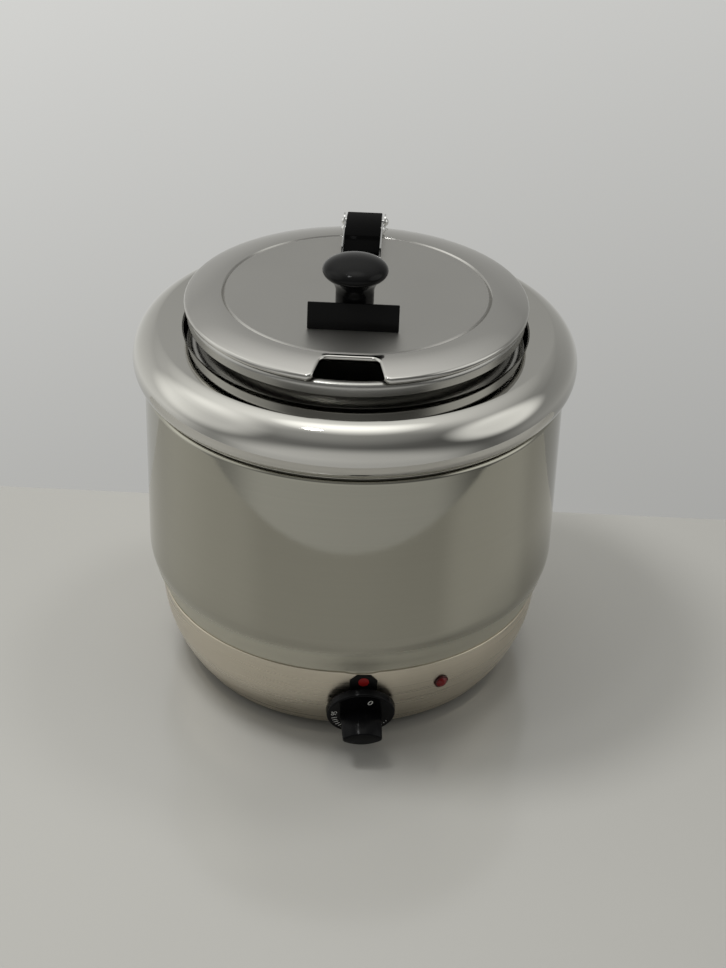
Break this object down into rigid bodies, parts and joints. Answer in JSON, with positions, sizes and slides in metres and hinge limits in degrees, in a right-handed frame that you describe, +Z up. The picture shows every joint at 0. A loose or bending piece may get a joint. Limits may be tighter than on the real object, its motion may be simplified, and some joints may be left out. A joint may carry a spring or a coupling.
{
  "type": "soup kettle",
  "caption": "Round electric catering kettle with a rolled steel collar, lift-out pot, hinged lid with a ladle notch, and a heat dial on its base.",
  "frame": {"origin": "on the table, on the upright axis of the kettle", "axes": "+Z up, -Y towards the front with the heat dial, +X to the right seen from the front"},
  "size_m": [0.34, 0.3458, 0.3645],
  "materials": {
    "satin_steel": "fine brushed stainless sheet",
    "polished_steel": "soft polished stainless sheet",
    "mirror_steel": "mirror polished stainless sheet",
    "lid_steel": "mirror polished stainless sheet",
    "pot_steel": "polished stainless sheet",
    "bright_steel": "bright plated steel",
    "zinc_steel": "zinc plated steel",
    "element_sheath": "heat tinted sheath",
    "copper_tube": "drawn copper",
    "black_sheet": "black coated sheet",
    "foot_rubber": "matt rubber",
    "seal_rubber": "matt silicone",
    "black_plastic": "matt moulded plastic",
    "gloss_black": "glossy moulded plastic",
    "knob_black": "satin moulded plastic",
    "tag_black": "glossy plastic plate",
    "white_plastic": "moulded plastic",
    "red_print": "printed dot",
    "red_lens": "clear red plastic"
  },
  "bodies": {
    "housing": {"base_ring": "satin_steel", "floor_plate": "black_sheet", "feet": "foot_rubber", "foot_screws": "zinc_steel", "foot_nuts": "zinc_steel", "base_screws": "zinc_steel", "body_shell": "polished_steel", "water_well": "satin_steel", "collar_seal": "seal_rubber", "heating_element": "element_sheath", "heater_clamp": "zinc_steel", "clamp_stud": "zinc_steel", "clamp_nut": "zinc_steel", "thermal_cutout": "black_plastic", "sensor_bulb": "copper_tube", "capillary_tube": "copper_tube", "thermostat_body": "white_plastic", "thermostat_nut": "zinc_steel", "pointer_plate": "black_plastic", "pointer_dot": "red_print", "lamp_lens": "red_lens", "lamp_body": "black_plastic", "lamp_nut": "black_plastic", "cable_gland": "black_plastic", "gland_nut": "black_plastic", "terminal_block": "white_plastic", "terminal_screws": "zinc_steel"},
    "dial": {"dial_knob": "gloss_black", "dial_spindle": "zinc_steel"},
    "pot": {"inner_pot": "pot_steel"},
    "collar": {"collar_ring": "mirror_steel", "collar_bracket": "bright_steel", "collar_rivets": "bright_steel", "hinge_pin": "bright_steel"},
    "lid": {"lid_plate": "lid_steel", "lid_bracket": "bright_steel", "lid_rivets": "bright_steel", "hinge_block": "gloss_black", "block_pin": "bright_steel", "lid_knob": "knob_black", "knob_washer": "bright_steel", "knob_screw": "bright_steel", "tag_plate": "tag_black"}
  },
  "joints": [
    {"name": "pot_lift", "type": "slide", "parent": "housing", "child": "pot", "axis": [0, 0, 1], "range_m": [0, 0.22]},
    {"name": "collar_lift", "type": "slide", "parent": "pot", "child": "collar", "axis": [0, 0, 1], "range_m": [0, 0.08]},
    {"name": "lid_hinge", "type": "hinge", "parent": "collar", "child": "lid", "pos_m": [0, 0.1385, 0.312], "axis": [-1, 0, 0], "range_deg": [0, 100]},
    {"name": "dial_turn", "type": "hinge", "parent": "housing", "child": "dial", "pos_m": [0.01644, -0.14431, 0.036], "axis": [-0.1066, 0.9352, 0.3377], "range_deg": [-23, 247]}
  ]
}
